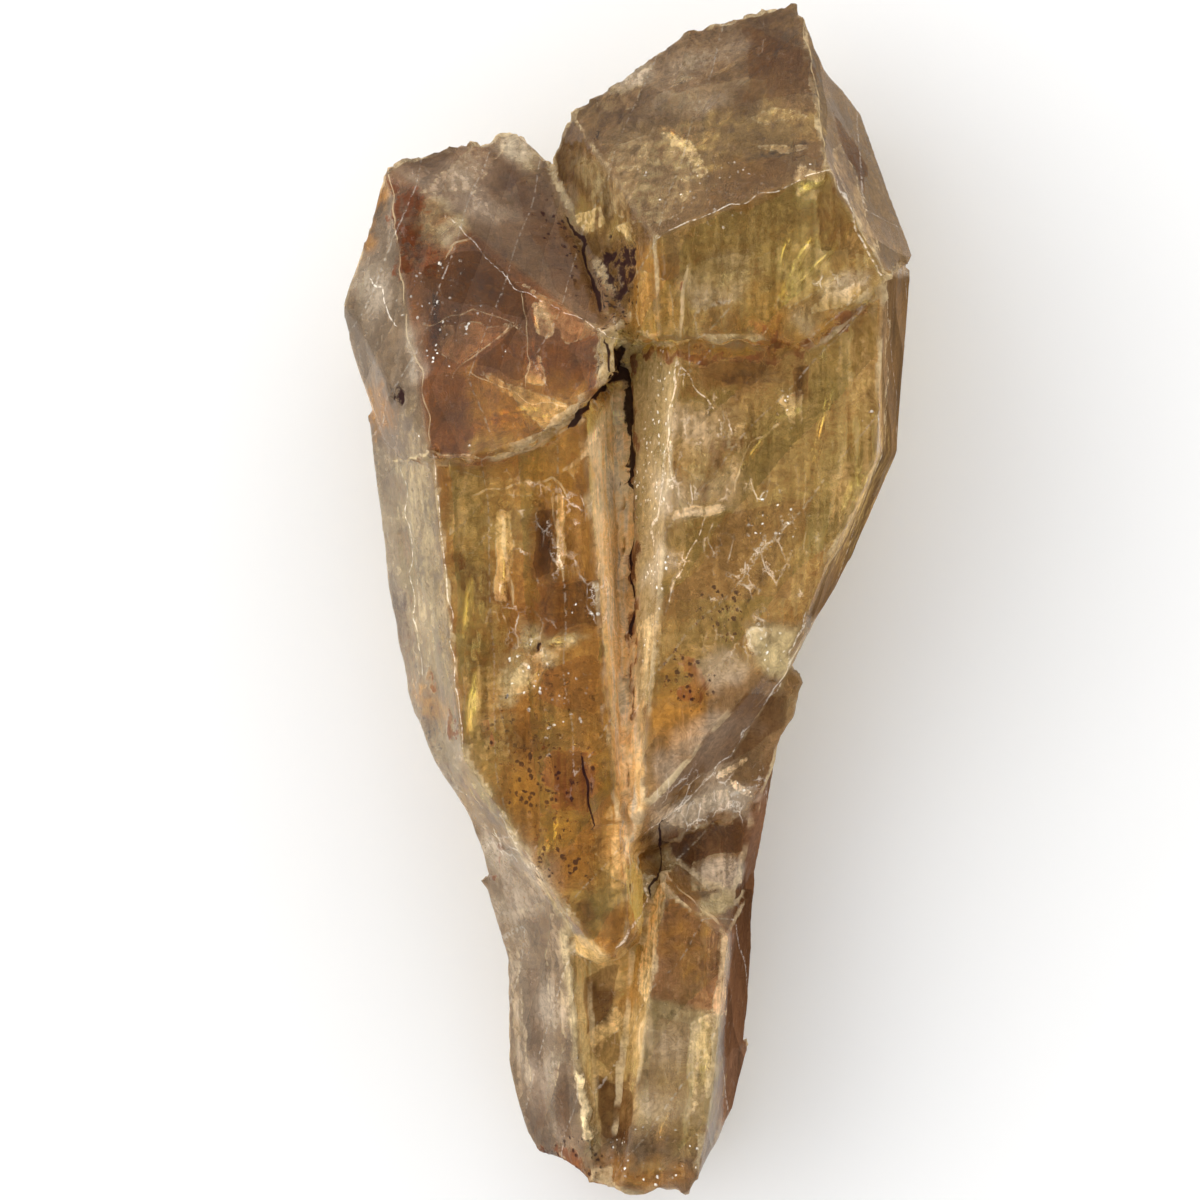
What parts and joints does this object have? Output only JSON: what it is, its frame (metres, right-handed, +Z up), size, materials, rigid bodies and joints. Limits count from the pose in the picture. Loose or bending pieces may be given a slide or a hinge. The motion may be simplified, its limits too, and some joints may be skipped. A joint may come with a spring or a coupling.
{
  "type": "barite crystal",
  "caption": "Hand-size group of smoky golden barite crystals: stout prisms grown together, each with a later pointed head, on a narrower stem broken off at its base.",
  "frame": {"origin": "middle of the group's bounding box at the surface it lies on", "axes": "+Y from the broken base to the tallest point, +Z up from the surface it lies on, +X to the side of the taller crystal"},
  "size_m": [0.0473, 0.0997, 0.0273],
  "materials": {
    "crystal": "smoky golden translucent crystal, glossy growth faces with frosted sides, rust stains and internal veils"
  },
  "bodies": {
    "root": {"barite_crystal_group": "crystal"}
  },
  "joints": []
}
